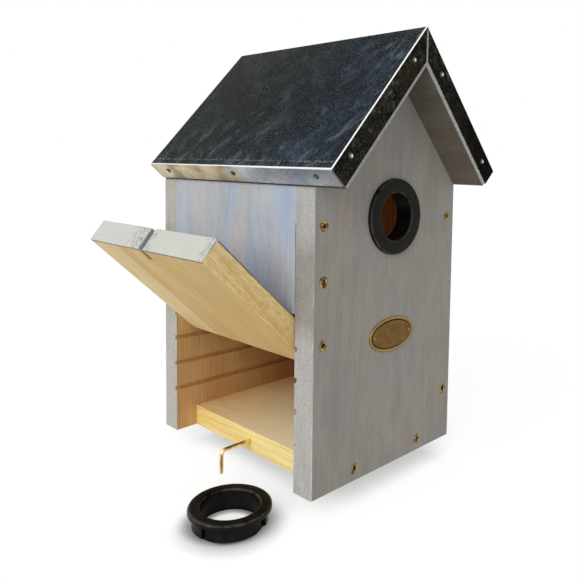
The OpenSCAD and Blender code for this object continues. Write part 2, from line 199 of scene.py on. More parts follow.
UPRIGHT = (0, 0, 0)
chamber_y = (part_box("front_wall")[1][1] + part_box("back_wall")[0][1]) / 2
inner_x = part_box("right_wall")[0][0] / MM
inner_y = (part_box("back_wall")[0][1] - chamber_y) / MM
# A painted shadow of the open door darkens the left edges at this height. It is full within the
# first distance from it, and reaches no further than the second.
door_shade_height = 115 * MM
door_shade_full = 17 * MM
door_shade_reach = 29 * MM
# From left to right, where the painted shade on the chamber's wood starts and is darkest.
chamber_shade_start = -20 * MM
chamber_shade_full = 30 * MM


def glazed_board(name, turn, pith, ring, half_x, half_y, cool, warm, edge, edge_axis="X",
                 streak=7, mottled=0.5):
    """Spruce with a grey glaze outside. Within half_x and half_y, in mm from the chamber's
    middle, it is bare. edge is the glaze's colour on the faces that look along edge_axis."""
    mat = new_material(name)
    place = timber_place(mat, turn)
    rings = growth_rings(mat, place, pith, ring)
    spot = add(mat, "TexCoord", out="Object")
    x = add(mat, "SeparateXYZ", {0: spot}, out="X")
    depth = add(mat, "SeparateXYZ", {0: spot}, out="Y")
    # The glaze ends in a ragged line, up to 0.6 mm to and fro.
    ragged = stretched(mat, place, 1.2, 7, 2.0)
    ragged = add(mat, "Math", {0: ragged, 1: 0.5}, operation="SUBTRACT")
    side = add(mat, "Math", {0: ragged, 1: 1.2 * MM, 2: x}, operation="MULTIPLY_ADD")
    bare_x = add(mat, "Math", {0: side, 1: 0, 2: half_x * MM}, operation="COMPARE")
    bare_y = add(mat, "Math", {0: depth, 1: chamber_y, 2: half_y * MM}, operation="COMPARE")
    bare = add(mat, "Math", {0: bare_x, 1: bare_y}, operation="MULTIPLY")
    coat = grey_glaze(mat, place, rings, cool, warm, streak, mottled)
    edge_coat = grey_glaze(mat, place, rings, edge, edge)
    # The sawn edges took up the pigment unevenly, in grains drawn at 1 mm so that they show.
    grains = stretched(mat, place, 0.9, 1.1, 3.0, roughness=0.7)
    grains = add(mat, "ValToRGB", {0: grains}, stops=[
        (0.36, "cfd2d6"), (0.48, "eeeeec"), (0.6, "fffefa")])
    edge_coat = add(mat, "MixRGB", {0: 0.65, 1: edge_coat, 2: grains}, blend_type="MULTIPLY")
    # A painted shadow of the open door darkens the left edges round that height.
    height = add(mat, "SeparateXYZ", {0: spot}, out="Z")
    from_door_shade = add(mat, "Math", {0: height, 1: door_shade_height}, operation="SUBTRACT")
    from_door_shade = add(mat, "Math", {0: from_door_shade}, operation="ABSOLUTE")
    door_shaded = add(mat, "MapRange", {"Value": from_door_shade, "From Min": door_shade_reach,
                                   "From Max": door_shade_full})
    left = add(mat, "Math", {0: x, 1: 0.0}, operation="LESS_THAN")
    door_shaded = add(mat, "Math", {0: door_shaded, 1: left}, operation="MULTIPLY")
    door_shade_colour = add(mat, "MixRGB", {0: 1.0, 1: edge_coat, 2: linear("dddad6")}, blend_type="MULTIPLY")
    edge_coat = add(mat, "MixRGB", {0: door_shaded, 1: edge_coat, 2: door_shade_colour})
    facing = add(mat, "TexCoord", out="Normal")
    edgeways = add(mat, "SeparateXYZ", {0: facing}, out=edge_axis)
    edgeways = add(mat, "Math", {0: edgeways}, operation="ABSOLUTE")
    edgeways = add(mat, "Math", {0: edgeways, 1: 0.6}, operation="GREATER_THAN")
    coat = add(mat, "MixRGB", {0: edgeways, 1: coat, 2: edge_coat})
    # Handling has worn the glaze thin here and there along the broken corners, the only places
    # that face between X and Y.
    x_facing = add(mat, "SeparateXYZ", {0: facing}, out="X")
    y_facing = add(mat, "SeparateXYZ", {0: facing}, out="Y")
    corner = add(mat, "Math", {0: x_facing, 1: y_facing}, operation="MULTIPLY")
    corner = add(mat, "Math", {0: corner}, operation="ABSOLUTE")
    corner = add(mat, "Math", {0: corner, 1: 0.25}, operation="GREATER_THAN")
    chafed = stretched(mat, place, 4, 18, 3.0, roughness=0.7)
    chafed = add(mat, "MapRange", {"Value": chafed, "From Min": 0.5, "From Max": 0.64,
                                   "To Min": 0.0, "To Max": 0.6})
    chafed = add(mat, "Math", {0: corner, 1: chafed}, operation="MULTIPLY")
    coat = add(mat, "MixRGB", {0: chafed, 1: coat, 2: linear("c9c2b4")})
    # The chamber's wood gets a painted shade, darker to the right, away from the open door on the
    # left.
    wood = bare_pine(mat, place, rings, "dfb57c", "bb884d")
    chamber_shade = add(mat, "MapRange", {"Value": x, "From Min": chamber_shade_start, "From Max": chamber_shade_full})
    shaded_chamber_wood = add(mat, "MixRGB", {0: 1.0, 1: wood, 2: linear("ccb1a0")}, blend_type="MULTIPLY")
    wood = add(mat, "MixRGB", {0: chamber_shade, 1: wood, 2: shaded_chamber_wood})
    # The glaze is a little duller than the planed wood.
    rough = add(mat, "MapRange", {"Value": bare, "To Min": 0.72, "To Max": 0.62})
    surface(mat, {"Base Color": add(mat, "MixRGB", {0: bare, 1: coat, 2: wood}),
                  "Roughness": rough, "Normal": raised_fibres(mat, place)})
    return mat


# The front and back boards are bare on their whole inner side, from one broken corner to the
# other and in past the bottom of the grooves, which are 1.8 mm deep.
broken_corner = 0.6
past_grooves = 2.2
half_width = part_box("front_wall")[1][0] / MM - broken_corner
# The front board's faces get a darker glaze colour than its edges: a painted shade, as they face
# away from the lamp.
dress(glazed_board("glazed_spruce_front", UPRIGHT, (-18, -90, 0), 2.4, half_width,
                   inner_y + past_grooves, "9e9d99", "a69f97", "b4b5b5", mottled=0.6),
      "front_wall")
dress(glazed_board("glazed_spruce_back", UPRIGHT, (-260, 30, 0), 1.9, half_width,
                   inner_y + past_grooves, "a5a7a8", "b0a8a2", "b6b4af"), "back_wall")
dress(glazed_board("glazed_spruce_side", UPRIGHT, (95, -60, 0), 2.6, inner_x + 0.8, inner_y + 1,
                   "a3a5a6", "aba6a0", "b0b3b6", "Z"), "right_wall")
panel = glazed_board("glazed_spruce_panel", UPRIGHT, (-120, -90, 0), 2.1, inner_x + 0.1,
                     inner_y + 1, "a6b3c9", "bbbabb", "b9bfc6", "Z", streak=14, mottled=0.35)
# The panel took the glaze thinner and bluer. Over its lower 50 mm a wavy dark line is painted along
# its front end, as painted shade of a hair-wide gap to the front board.
gap_length = 50.0
place = timber_place(panel, UPRIGHT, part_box("upper_left_panel")[0])
from_front = add(panel, "SeparateXYZ", {0: place}, out="Y")
height = add(panel, "SeparateXYZ", {0: place}, out="Z")
wavy = stretched(panel, place, 3, 12, 2.0)
wavy = add(panel, "Math", {0: wavy, 1: 0.7}, operation="MULTIPLY")
gap_shade_line = add(panel, "Math", {0: from_front, 1: wavy}, operation="LESS_THAN")
low = add(panel, "Math", {0: height, 1: gap_length}, operation="LESS_THAN")
stain(panel, add(panel, "Math", {0: gap_shade_line, 1: low}, operation="MULTIPLY"), "34322f")
dress(panel, "upper_left_panel")


# ---- Floor board ----
# A planed pine board, untreated, let in between the front and back boards and held by two screws
# through each. Its grain runs from front to back, so its left edge shows long lines.

LENGTHWAYS = (math.radians(90), 0, 0)
# From front to back, where a painted shade on the wood starts and is darkest.
floor_shade_start = -100 * MM
floor_shade_full = -20 * MM


def floor_pine(name, pith, ring, pale, late):
    mat = new_material(name)
    place = timber_place(mat, LENGTHWAYS)
    rings = growth_rings(mat, place, pith, ring)
    # The planed top is paler than the sawn edges.
    upward = add(mat, "SeparateXYZ", {0: add(mat, "TexCoord", out="Normal")}, out="Z")
    top = add(mat, "Math", {0: upward, 1: 0.5}, operation="GREATER_THAN")
    sawn = bare_pine(mat, place, rings, pale, late)
    planed = bare_pine(mat, place, rings, "fdecc6", "f7e2b9")
    wood = add(mat, "MixRGB", {0: top, 1: sawn, 2: planed})
    # Its back third gets a browner painted shade, the edges less so. The front of its top is painted
    # palest, as painted light.
    depth = add(mat, "SeparateXYZ", {0: add(mat, "TexCoord", out="Object")}, out="Y")
    floor_shade = add(mat, "MapRange", {"Value": depth, "From Min": floor_shade_start,
                                 "From Max": floor_shade_full})
    painted_light_amount = add(mat, "Math", {0: top, 1: 0.8}, operation="MULTIPLY")
    front = add(mat, "MixRGB", {0: painted_light_amount, 1: wood, 2: linear("fff2c8")})
    shaded_floor_wood = add(mat, "MixRGB", {0: 1.0, 1: wood, 2: linear("eddbc0")}, blend_type="MULTIPLY")
    floor_shade_amount = add(mat, "MapRange", {"Value": top, "To Min": 0.6, "To Max": 1.0})
    back = add(mat, "MixRGB", {0: floor_shade_amount, 1: wood, 2: shaded_floor_wood})
    surface(mat, {"Base Color": add(mat, "MixRGB", {0: floor_shade, 1: front, 2: back}),
                  "Roughness": 0.6, "Normal": raised_fibres(mat, place)})
    return mat


dress(floor_pine("planed_pine_floor", (40, 60, 0), 3.0, "eedf9b", "e1c16f"), "floor_board")


# ---- Door ----
# A planed pine board on two pivot screws, rounded over at its top so that it can swing. Only the
# outer face is glazed; the glaze has run onto the end and left a grey line round it. The end
# grain is pale, with open pores.

hinge = [joint for joint in frame["joints"] if joint["name"] == "door_hinge"][0]
door_turn = -math.radians(133.1)
# Places on the door, in mm from its pivot. These are through its thickness, with the outer face
# at -5.8: the face's skin, where the glaze ends, and how far in its dark line reaches.
outer_skin = -5.75
glaze_end = -5.4
glaze_line = -4.9
# These are from front to back, with the edges at -59.25 and 59.25. The pores are thickest within
# pores_full of pores_middle and thin out up to pores_reach.
edge_start = 59.0
glue_joint = 28.0
notch_middle = -0.3
notch_half = 2.4
pores_middle = 4.0
pores_full = 10.0
pores_reach = 17.0
front_pores_start = -51.0
front_pores_full = -56.0
# These are along it. Its end slopes from -81.8 at the inner face to -83.2 at the outer.
joint_end = -25.0
notch_start = -71.9
notch_bare = -77.0
end_line = -80.5
end_start = -81.6


def door_board():
    mat = new_material("planed_pine_door")
    place = timber_place(mat, (0, door_turn, 0), hinge["pos_m"])
    rings = growth_rings(mat, place, (-6, 52, 0), 2.7)
    across = add(mat, "SeparateXYZ", {0: place}, out="X")
    sideways = add(mat, "SeparateXYZ", {0: place}, out="Y")
    length = add(mat, "SeparateXYZ", {0: place}, out="Z")

    # The sawn edges are paler than the planed inner face, and show the saw's marks.
    outward = add(mat, "Math", {0: sideways}, operation="ABSOLUTE")
    faced = add(mat, "Math", {0: outward, 1: edge_start}, operation="LESS_THAN")
    sawn = bare_pine(mat, place, rings, "f9e0a6", "eccb8c")
    saw_marks = stretched(mat, place, 0.6, 4, 2.0)
    saw_marks = add(mat, "ValToRGB", {0: saw_marks}, stops=[(0.4, "ddd2ba"), (0.56, "ffffff")])
    sawn = add(mat, "MixRGB", {0: 0.6, 1: sawn, 2: saw_marks}, blend_type="MULTIPLY")
    planed = bare_pine(mat, place, rings, "dcc283", "c8a060")
    wood = add(mat, "MixRGB", {0: faced, 1: sawn, 2: planed})
    # The board is glued up from strips; the joint that shows is a thin brown line, and the wood
    # behind it is paler.
    behind = add(mat, "Math", {0: sideways, 1: glue_joint}, operation="GREATER_THAN")
    behind = add(mat, "Math", {0: behind, 1: 0.35}, operation="MULTIPLY")
    wood = add(mat, "MixRGB", {0: behind, 1: wood, 2: linear("ecdaa6")}, blend_type="SCREEN")
    joint = add(mat, "Math", {0: sideways, 1: glue_joint, 2: 0.3}, operation="COMPARE")
    upper = add(mat, "Math", {0: length, 1: joint_end}, operation="GREATER_THAN")
    joint = add(mat, "Math", {0: joint, 1: upper}, operation="MULTIPLY")
    joint = add(mat, "Math", {0: joint, 1: 0.7}, operation="MULTIPLY")
    wood = add(mat, "MixRGB", {0: joint, 1: wood, 2: linear("6b4426")})

    # The glaze covers the outer face and runs out unevenly on the rounded top. On the long edges
    # and round the end it has dried as a dark line.
    run = stretched(mat, place, 3, 9, 2.0)
    run = add(mat, "Math", {0: run, 1: 0.9, 2: -0.45}, operation="MULTIPLY_ADD")
    uneven_across = add(mat, "Math", {0: across, 1: run}, operation="ADD")
    uneven_length = add(mat, "Math", {0: length, 1: run}, operation="ADD")
    glazed = add(mat, "Math", {0: uneven_across, 1: glaze_end}, operation="LESS_THAN")
    coat = grey_glaze(mat, place, rings, "a6a8aa", "b5aea4")
    on_edge = add(mat, "Math", {0: 1.0, 1: faced}, operation="SUBTRACT")
    by_face = add(mat, "Math", {0: uneven_across, 1: glaze_line}, operation="LESS_THAN")
    by_face = add(mat, "Math", {0: on_edge, 1: by_face}, operation="MULTIPLY")
    by_end = add(mat, "Math", {0: uneven_length, 1: end_line}, operation="LESS_THAN")
    by_end = add(mat, "Math", {0: faced, 1: by_end}, operation="MULTIPLY")
    lined = add(mat, "Math", {0: by_face, 1: by_end}, operation="MAXIMUM")
    lined = add(mat, "Math", {0: lined, 1: 0.9}, operation="MULTIPLY")

    # The end: open pores, drawn at 1.5 mm so that they show, thickest beside the notch and along
    # the front edge, and faint yearly lines.
    pores = stretched(mat, place, 1.5, 1.5, 1.0)
    pores = add(mat, "Math", {0: pores, 1: 0.5}, operation="SUBTRACT")
    pores = add(mat, "Math", {0: pores}, operation="ABSOLUTE")
    pores = add(mat, "ValToRGB", {0: pores}, stops=[(0.012, "55554f"), (0.04, "ffffff")])
    from_notch = add(mat, "Math", {0: sideways, 1: -pores_middle}, operation="ADD")
    from_notch = add(mat, "Math", {0: from_notch}, operation="ABSOLUTE")
    by_notch = add(mat, "MapRange", {"Value": from_notch, "From Min": pores_reach,
                                     "From Max": pores_full})
    by_edge = add(mat, "MapRange", {"Value": sideways, "From Min": front_pores_start,
                                    "From Max": front_pores_full})
    dense = add(mat, "Math", {0: by_notch, 1: by_edge}, operation="MAXIMUM")
    dense = add(mat, "Math", {0: dense, 1: 0.15}, operation="MAXIMUM")
    uneven = stretched(mat, place, 6, 6, 2.0)
    uneven = add(mat, "MapRange", {"Value": uneven, "From Min": 0.36, "From Max": 0.48})
    dense = add(mat, "Math", {0: dense, 1: uneven}, operation="MULTIPLY")
    year_lines = add(mat, "ValToRGB", {0: rings}, stops=[(0.3, "ffffff"), (0.9, "dcdcd2")])
    end = add(mat, "MixRGB", {0: 0.6, 1: linear("c1c2bb"), 2: year_lines}, blend_type="MULTIPLY")
    end = add(mat, "MixRGB", {0: dense, 1: end, 2: pores}, blend_type="MULTIPLY")

    # Glaze has run into the notch, and its inner end is bare.
    in_notch = add(mat, "Math", {0: sideways, 1: notch_middle, 2: notch_half},
                   operation="COMPARE")
    by_notch_end = add(mat, "Math", {0: length, 1: notch_start}, operation="LESS_THAN")
    in_notch = add(mat, "Math", {0: in_notch, 1: by_notch_end}, operation="MULTIPLY")
    bare_end = add(mat, "Math", {0: length, 1: notch_bare}, operation="GREATER_THAN")
    notch = add(mat, "MixRGB", {0: bare_end, 1: linear("a3a5ad"), 2: linear("c08a4e")})

    at_end = add(mat, "Math", {0: length, 1: end_start}, operation="LESS_THAN")
    at_skin = add(mat, "Math", {0: across, 1: outer_skin}, operation="LESS_THAN")
    colour = add(mat, "MixRGB", {0: glazed, 1: wood, 2: coat})
    colour = add(mat, "MixRGB", {0: lined, 1: colour, 2: linear("66675f")})
    colour = add(mat, "MixRGB", {0: at_end, 1: colour, 2: end})
    colour = add(mat, "MixRGB", {0: at_skin, 1: colour, 2: coat})
    colour = add(mat, "MixRGB", {0: in_notch, 1: colour, 2: notch})
    surface(mat, {"Base Color": colour, "Roughness": 0.62, "Normal": raised_fibres(mat, place)})
    return mat


dress(door_board(), "door")


# ---- Turn hook ----
# Brass wire, drawn, cut and bent to a right angle, driven into the floor's edge. It turns in its
# hole: hanging down it lets the door's notch pass, and turned aside it keeps the door shut.

def in_mm(mat):
    """The place on a piece, in mm."""
    place = add(mat, "TexCoord", out="Object")
    return add(mat, "Mapping", {"Vector": place, "Scale": (1000, 1000, 1000)})


def dull_brass(name, colour, roughness, shade="b9a68c"):
    """Bare brass with clouds of tarnish some 5 mm wide, which take off its shine unevenly."""
    mat = new_material(name)
    place = in_mm(mat)
    tarnish = add(mat, "TexNoise", {"Vector": place, "Scale": 0.22, "Detail": 3.0})
    tarnish = add(mat, "ValToRGB", {0: tarnish}, stops=[(0.35, shade), (0.62, "ffffff")])
    fine = add(mat, "TexNoise", {"Vector": place, "Scale": 3.0, "Detail": 2.0})
    rough = add(mat, "MapRange", {"Value": fine, "To Min": roughness, "To Max": roughness + 0.15})
    bump = add(mat, "Bump", {"Strength": 0.2, "Distance": 0.00005, "Height": fine})
    colour = add(mat, "MixRGB", {0: 0.8, 1: linear(colour), 2: tarnish}, blend_type="MULTIPLY")
    surface(mat, {"Base Color": colour, "Metallic": 1.0, "Roughness": rough, "Normal": bump})
    return mat


dress(dull_brass("drawn_brass_wire", "f6dc9c", 0.26), "turn_hook")


# ---- Roof boards ----
# Two spruce boards under the sheet, butted at the ridge, with their grain from front to back. Their
# ends are glazed light grey like the walls; their faces are given a dark brown-grey, a painted shade
# for the underside where they overhang.

roof_wood = glazed_board("glazed_spruce_roof", LENGTHWAYS, (30, 130, 0), 2.5, inner_x + 0.1,
                         inner_y + 0.1, "6e675f", "675d54", "b9b9b9", "Y")
# The sawn eave edge, a strip of which shows under the sheet's fold, is rough and dirty, and is
# painted dark as the shade in the gap under the fold. It faces away from the ridge on either side.
outward = add(roof_wood, "SeparateXYZ", {0: add(roof_wood, "TexCoord", out="Normal")}, out="X")
x = add(roof_wood, "SeparateXYZ", {0: add(roof_wood, "TexCoord", out="Object")}, out="X")
outward = add(roof_wood, "Math", {0: outward, 1: x}, operation="MULTIPLY")
stain(roof_wood, add(roof_wood, "Math", {0: outward, 1: 0.01}, operation="GREATER_THAN"),
      "48443c")
dress(roof_wood, "left_roof_board", "right_roof_board")


# ---- Roof sheet ----
# One piece of zinc-coated sheet, folded over the ridge and down round all edges, with a mitre under
# the ridge. The flat slopes have weathered dark with a fine pale speckle. The folds are painted
# bright as a painted highlight, and the eave edges are painted paler and the gable edges darker, as
# painted reflections on the one sheet.

roof_pitch = math.radians(47.75)
ridge_height = 260.0
# Down the slope from the ridge, in mm: where the dust starts and is thickest, and the line that
# the folding machine's clamp has left.
dust_start = 50
dust_full = 107
clamp_line = 103.6
# From the back, in mm: where the slopes start to look blue and are bluest, where the dust along
# the front starts and is thickest, and where the film on the eaves has ended and is whole.
blue_start = -20.0
blue_full = -90.0
front_dust_start = -120
front_dust_full = -172
film_end = -82
film_whole = -68
# Right of the ridge, in mm: where the painted shade on the gable's edges starts and is darkest.
gable_shade_start = 10
gable_shade_full = 60


def folded_zinc():
    mat = new_material("zinc_coated_sheet")
    place = in_mm(mat)
    x = add(mat, "SeparateXYZ", {0: place}, out="X")
    depth = add(mat, "SeparateXYZ", {0: place}, out="Y")
    height = add(mat, "SeparateXYZ", {0: place}, out="Z")
    # How far down the slope, in mm from the ridge, the same on both sides.
    from_ridge = add(mat, "Math", {0: x}, operation="ABSOLUTE")
    fallen = add(mat, "Math", {0: height, 1: -math.sin(roof_pitch),
                               2: ridge_height * math.sin(roof_pitch)}, operation="MULTIPLY_ADD")
    down = add(mat, "Math", {0: from_ridge, 1: math.cos(roof_pitch), 2: fallen},
               operation="MULTIPLY_ADD")
    flat = add(mat, "CombineXYZ", {0: depth, 1: down})

    # Which way the sheet faces: up the slope, down at the eave, out at the gable or in a fold.
    facing = add(mat, "TexCoord", out="Normal")
    face_y = add(mat, "SeparateXYZ", {0: facing}, out="Y")
    face_z = add(mat, "SeparateXYZ", {0: facing}, out="Z")
    gabled = add(mat, "Math", {0: face_y}, operation="ABSOLUTE")
    gable = add(mat, "Math", {0: gabled, 1: 0.8}, operation="GREATER_THAN")
    eave = add(mat, "Math", {0: face_z, 1: -0.05}, operation="LESS_THAN")
    gable_fold = add(mat, "Math", {0: gabled, 1: 0.55, 2: 0.25}, operation="COMPARE")
    eave_fold = add(mat, "Math", {0: face_z, 1: 0.2, 2: 0.26}, operation="COMPARE")
    level = add(mat, "Math", {0: gabled, 1: 0.3}, operation="LESS_THAN")
    eave_fold = add(mat, "Math", {0: eave_fold, 1: level}, operation="MULTIPLY")
    fold_highlight = add(mat, "Math", {0: gable_fold, 1: eave_fold}, operation="MAXIMUM")

    # Slopes: weathered dark, olive toward the back and blue toward the front, in soft clouds.
    wander = add(mat, "TexNoise", {"Vector": flat, "Scale": 0.025, "Detail": 3.0})
    wander = add(mat, "Math", {0: wander, 1: 90.0, 2: depth}, operation="MULTIPLY_ADD")
    blued = add(mat, "MapRange", {"Value": wander, "From Min": blue_start,
                                  "From Max": blue_full})
    cloud = add(mat, "TexNoise", {"Vector": flat, "Scale": 0.045, "Detail": 6.0,
                                  "Roughness": 0.7, "Distortion": 0.5})
    olive = add(mat, "ValToRGB", {0: cloud}, stops=[
        (0.34, "0a0d08"), (0.5, "151912"), (0.68, "2f342b")])
    blue = add(mat, "ValToRGB", {0: cloud}, stops=[
        (0.34, "0a0d11"), (0.5, "141b23"), (0.68, "2e3b4a")])
    slope_colour = add(mat, "MixRGB", {0: blued, 1: olive, 2: blue})
    # Dust has dried on it in short smears down the slope, most along the eave and the front.
    low = add(mat, "MapRange", {"Value": down, "From Min": dust_start, "From Max": dust_full})
    front = add(mat, "MapRange", {"Value": depth, "From Min": front_dust_start,
                                  "From Max": front_dust_full})
    thick = add(mat, "Math", {0: low, 1: front}, operation="MAXIMUM")
    thick = add(mat, "Math", {0: thick, 1: 0.13}, operation="MULTIPLY")
    turned = add(mat, "Mapping", {"Vector": flat, "Rotation": (0, 0, math.radians(16))})
    smear = add(mat, "Mapping", {"Vector": turned, "Scale": (1 / 7, 1 / 16, 1)})
    smear = add(mat, "TexNoise", {"Vector": smear, "Scale": 1.0, "Detail": 6.0,
                                  "Roughness": 0.7, "Distortion": 0.3})
    smear = add(mat, "Math", {0: smear, 1: thick}, operation="ADD")
    smear = add(mat, "ValToRGB", {0: smear}, stops=[
        (0.53, "000000"), (0.63, "11161a"), (0.78, "4c5760")])
    slope_colour = add(mat, "MixRGB", {0: 0.9, 1: slope_colour, 2: smear}, blend_type="ADD")
    streak = add(mat, "Mapping", {"Vector": turned, "Scale": (1 / 1.2, 1 / 9, 1)})
    streak = add(mat, "TexNoise", {"Vector": streak, "Scale": 1.0, "Detail": 2.0})
    streak = add(mat, "Math", {0: streak, 1: thick}, operation="ADD")
    streak = add(mat, "ValToRGB", {0: streak}, stops=[
        (0.68, "000000"), (0.76, "1c2124"), (0.86, "8c979f")])
    slope_colour = add(mat, "MixRGB", {0: 0.7, 1: slope_colour, 2: streak}, blend_type="ADD")
    # The coating's pale grains, drawn at 0.8 mm so that they show.
    grain = add(mat, "TexNoise", {"Vector": flat, "Scale": 1.25, "Detail": 2.0,
                                  "Roughness": 0.6})
    grain = add(mat, "ValToRGB", {0: grain}, stops=[
        (0.43, "000000"), (0.55, "1f2224"), (0.64, "5e6466"), (0.73, "aeb4b6")])
    slope_colour = add(mat, "MixRGB", {0: 0.7, 1: slope_colour, 2: grain}, blend_type="ADD")
    # The folding machine's clamp has left a dotted line beside the eave's fold.
    dots = add(mat, "TexNoise", {"Vector": flat, "Scale": 0.9, "Detail": 2.0})
    dots = add(mat, "MapRange", {"Value": dots, "From Min": 0.5, "From Max": 0.62})
    clamped = add(mat, "Math", {0: down, 1: clamp_line, 2: 0.5}, operation="COMPARE")
    dots = add(mat, "Math", {0: dots, 1: clamped}, operation="MULTIPLY")
    dots = add(mat, "Math", {0: dots, 1: 0.8}, operation="MULTIPLY")
    slope_colour = add(mat, "MixRGB", {0: dots, 1: slope_colour, 2: linear("9aa3a8")})

    # Gable edges: painted darkest, a painted reflection on the one sheet, brown in places, with pale
    # specks and a few soft scuffs. Right of the ridge a painted shade makes them darker still.
    stained = add(mat, "TexNoise", {"Vector": place, "Scale": 0.04, "Detail": 3.0})
    gable_colour = add(mat, "ValToRGB", {0: stained}, stops=[
        (0.4, "0b0c09"), (0.54, "15140f"), (0.68, "261f16")])
    speck = add(mat, "TexNoise", {"Vector": place, "Scale": 1.5, "Detail": 2.0})
    speck = add(mat, "ValToRGB", {0: speck}, stops=[
        (0.48, "000000"), (0.6, "1d1c17"), (0.76, "66655e")])
    gable_colour = add(mat, "MixRGB", {0: 0.8, 1: gable_colour, 2: speck}, blend_type="ADD")
    scuff = add(mat, "TexNoise", {"Vector": place, "Scale": 0.16, "Detail": 5.0,
                                  "Roughness": 0.7})
    scuff = add(mat, "ValToRGB", {0: scuff}, stops=[
        (0.54, "000000"), (0.64, "2e2d28"), (0.75, "72716b")])
    gable_colour = add(mat, "MixRGB", {0: 0.8, 1: gable_colour, 2: scuff}, blend_type="ADD")
    right = add(mat, "MapRange", {"Value": x, "From Min": gable_shade_start,
                                  "From Max": gable_shade_full})
    gable_shade = add(mat, "MixRGB", {0: 1.0, 1: gable_colour, 2: linear("9f968e")},
                 blend_type="MULTIPLY")
    gable_colour = add(mat, "MixRGB", {0: right, 1: gable_colour, 2: gable_shade})

    # The eave's folded edge is bare, and painted pale, bluish white in front, as a painted
    # reflection. A straw-coloured film covers it at the back, with brown smudges.
    film = add(mat, "TexNoise", {"Vector": place, "Scale": 0.05, "Detail": 2.0})
    film = add(mat, "Math", {0: film, 1: 30.0, 2: depth}, operation="MULTIPLY_ADD")
    film = add(mat, "MapRange", {"Value": film, "From Min": film_end,
                                 "From Max": film_whole})
    smudge = add(mat, "TexNoise", {"Vector": place, "Scale": 0.055, "Detail": 3.0})
    straw = add(mat, "ValToRGB", {0: smudge}, stops=[
        (0.38, "877961"), (0.5, "bba97e"), (0.62, "c9bd9a")])
    cloudy = add(mat, "TexNoise", {"Vector": place, "Scale": 0.08, "Detail": 3.0})
    eave_reflection = add(mat, "ValToRGB", {0: cloudy}, stops=[(0.35, "dde4ea"), (0.6, "fafdff")])
    eave_colour = add(mat, "MixRGB", {0: film, 1: eave_reflection, 2: straw})

    # The one sheet's slope, eave and gable colours differ as painted reflections.
    colour = add(mat, "MixRGB", {0: eave, 1: slope_colour, 2: eave_colour})
    colour = add(mat, "MixRGB", {0: gable, 1: colour, 2: gable_colour})
    # A painted highlight along the folds.
    colour = add(mat, "MixRGB", {0: fold_highlight, 1: colour, 2: linear("fbfcfc")})
    rough = add(mat, "TexNoise", {"Vector": place, "Scale": 0.3, "Detail": 3.0})
    rough = add(mat, "MapRange", {"Value": rough, "To Min": 0.2, "To Max": 0.36})
    # The eave's edge is flatter than the slopes.
    fine = add(mat, "TexNoise", {"Vector": place, "Scale": 0.5, "Detail": 3.0})
    relief = add(mat, "MapRange", {"Value": eave, "To Min": 0.00001, "To Max": 0.000003})
    bump = add(mat, "Bump", {"Strength": 1.0, "Distance": relief, "Height": fine})
    # The weathered slopes' reflection hardly rises toward grazing, so the tint of their edge is
    # a mid grey; the bare eave has none.
    tint = add(mat, "MixRGB", {0: eave, 1: linear("c4c4c4"), 2: linear("ffffff")})
    surface(mat, {"Base Color": colour, "Metallic": 1.0, "Roughness": rough, "Normal": bump,
                  "Specular Tint": tint})
    return mat


dress(folded_zinc(), "roof_sheet")


# ---- Entrance rings ----
# Snap-in rings of black polypropylene, moulded, with a satin skin. One sits in the front board's
# hole; the other, with a wider hole, lies apart.

def moulded_plastic(name, axis):
    """Black polypropylene of a ring round axis, with a painted highlight on its rounded edges."""
    mat = new_material(name)
    place = in_mm(mat)
    # The mould's spark-eroded grain, drawn at 0.6 mm so that it shows.
    grain = add(mat, "TexNoise", {"Vector": place, "Scale": 1.6, "Detail": 3.0})
    scuff = add(mat, "TexNoise", {"Vector": place, "Scale": 0.18, "Detail": 4.0})
    colour = add(mat, "ValToRGB", {0: scuff}, stops=[(0.35, "0b0a08"), (0.75, "181613")])
    # The rounded edges are what faces neither along the axis nor square to it.
    facing = add(mat, "TexCoord", out="Normal")
    along = add(mat, "VectorMath", {0: facing, 1: axis}, out="Value", operation="DOT_PRODUCT")
    along = add(mat, "Math", {0: along}, operation="ABSOLUTE")
    rounded = add(mat, "ValToRGB", {0: along}, stops=[
        (0.2, "000000"), (0.45, "ffffff"), (0.8, "ffffff"), (0.97, "000000")])
    # A patchy painted highlight on the rounded edges.
    patchy = add(mat, "MapRange", {"Value": scuff, "From Min": 0.35, "From Max": 0.6})
    painted_edge_highlight = add(mat, "Math", {0: rounded, 1: patchy}, operation="MULTIPLY")
    colour = add(mat, "MixRGB", {0: painted_edge_highlight, 1: colour, 2: linear("3d3c38")})
    rough = add(mat, "MapRange", {"Value": scuff, "To Min": 0.26, "To Max": 0.42})
    bump = add(mat, "Bump", {"Strength": 0.25, "Distance": 0.00006, "Height": grain})
    surface(mat, {"Base Color": colour, "Roughness": rough, "Normal": bump, "IOR": 1.49,
                  "Specular IOR Level": 0.09})
    return mat


dress(moulded_plastic("moulded_polypropylene_fitted", (0, 1, 0)), "entrance_ring")
dress(moulded_plastic("moulded_polypropylene_spare", (0, 0, 1)), "spare_ring")


# ---- Screws ----
# Countersunk cross-recess screws of steel, zinc plated and yellow passivated, driven flush.

def plated_steel(name, colour, shade, roughness):
    """Plated steel whose yellow film is thin and brown in spots of a millimetre or two."""
    mat = new_material(name)
    place = in_mm(mat)
    tint = add(mat, "TexNoise", {"Vector": place, "Scale": 0.6, "Detail": 3.0})
    tint = add(mat, "ValToRGB", {0: tint}, stops=[(0.35, shade), (0.65, colour)])
    fine = add(mat, "TexNoise", {"Vector": place, "Scale": 2.5, "Detail": 2.0})
    rough = add(mat, "MapRange", {"Value": fine, "To Min": roughness, "To Max": roughness + 0.2})
    bump = add(mat, "Bump", {"Strength": 0.2, "Distance": 0.00005, "Height": fine})
    surface(mat, {"Base Color": tint, "Metallic": 1.0, "Roughness": rough, "Normal": bump})
    return mat


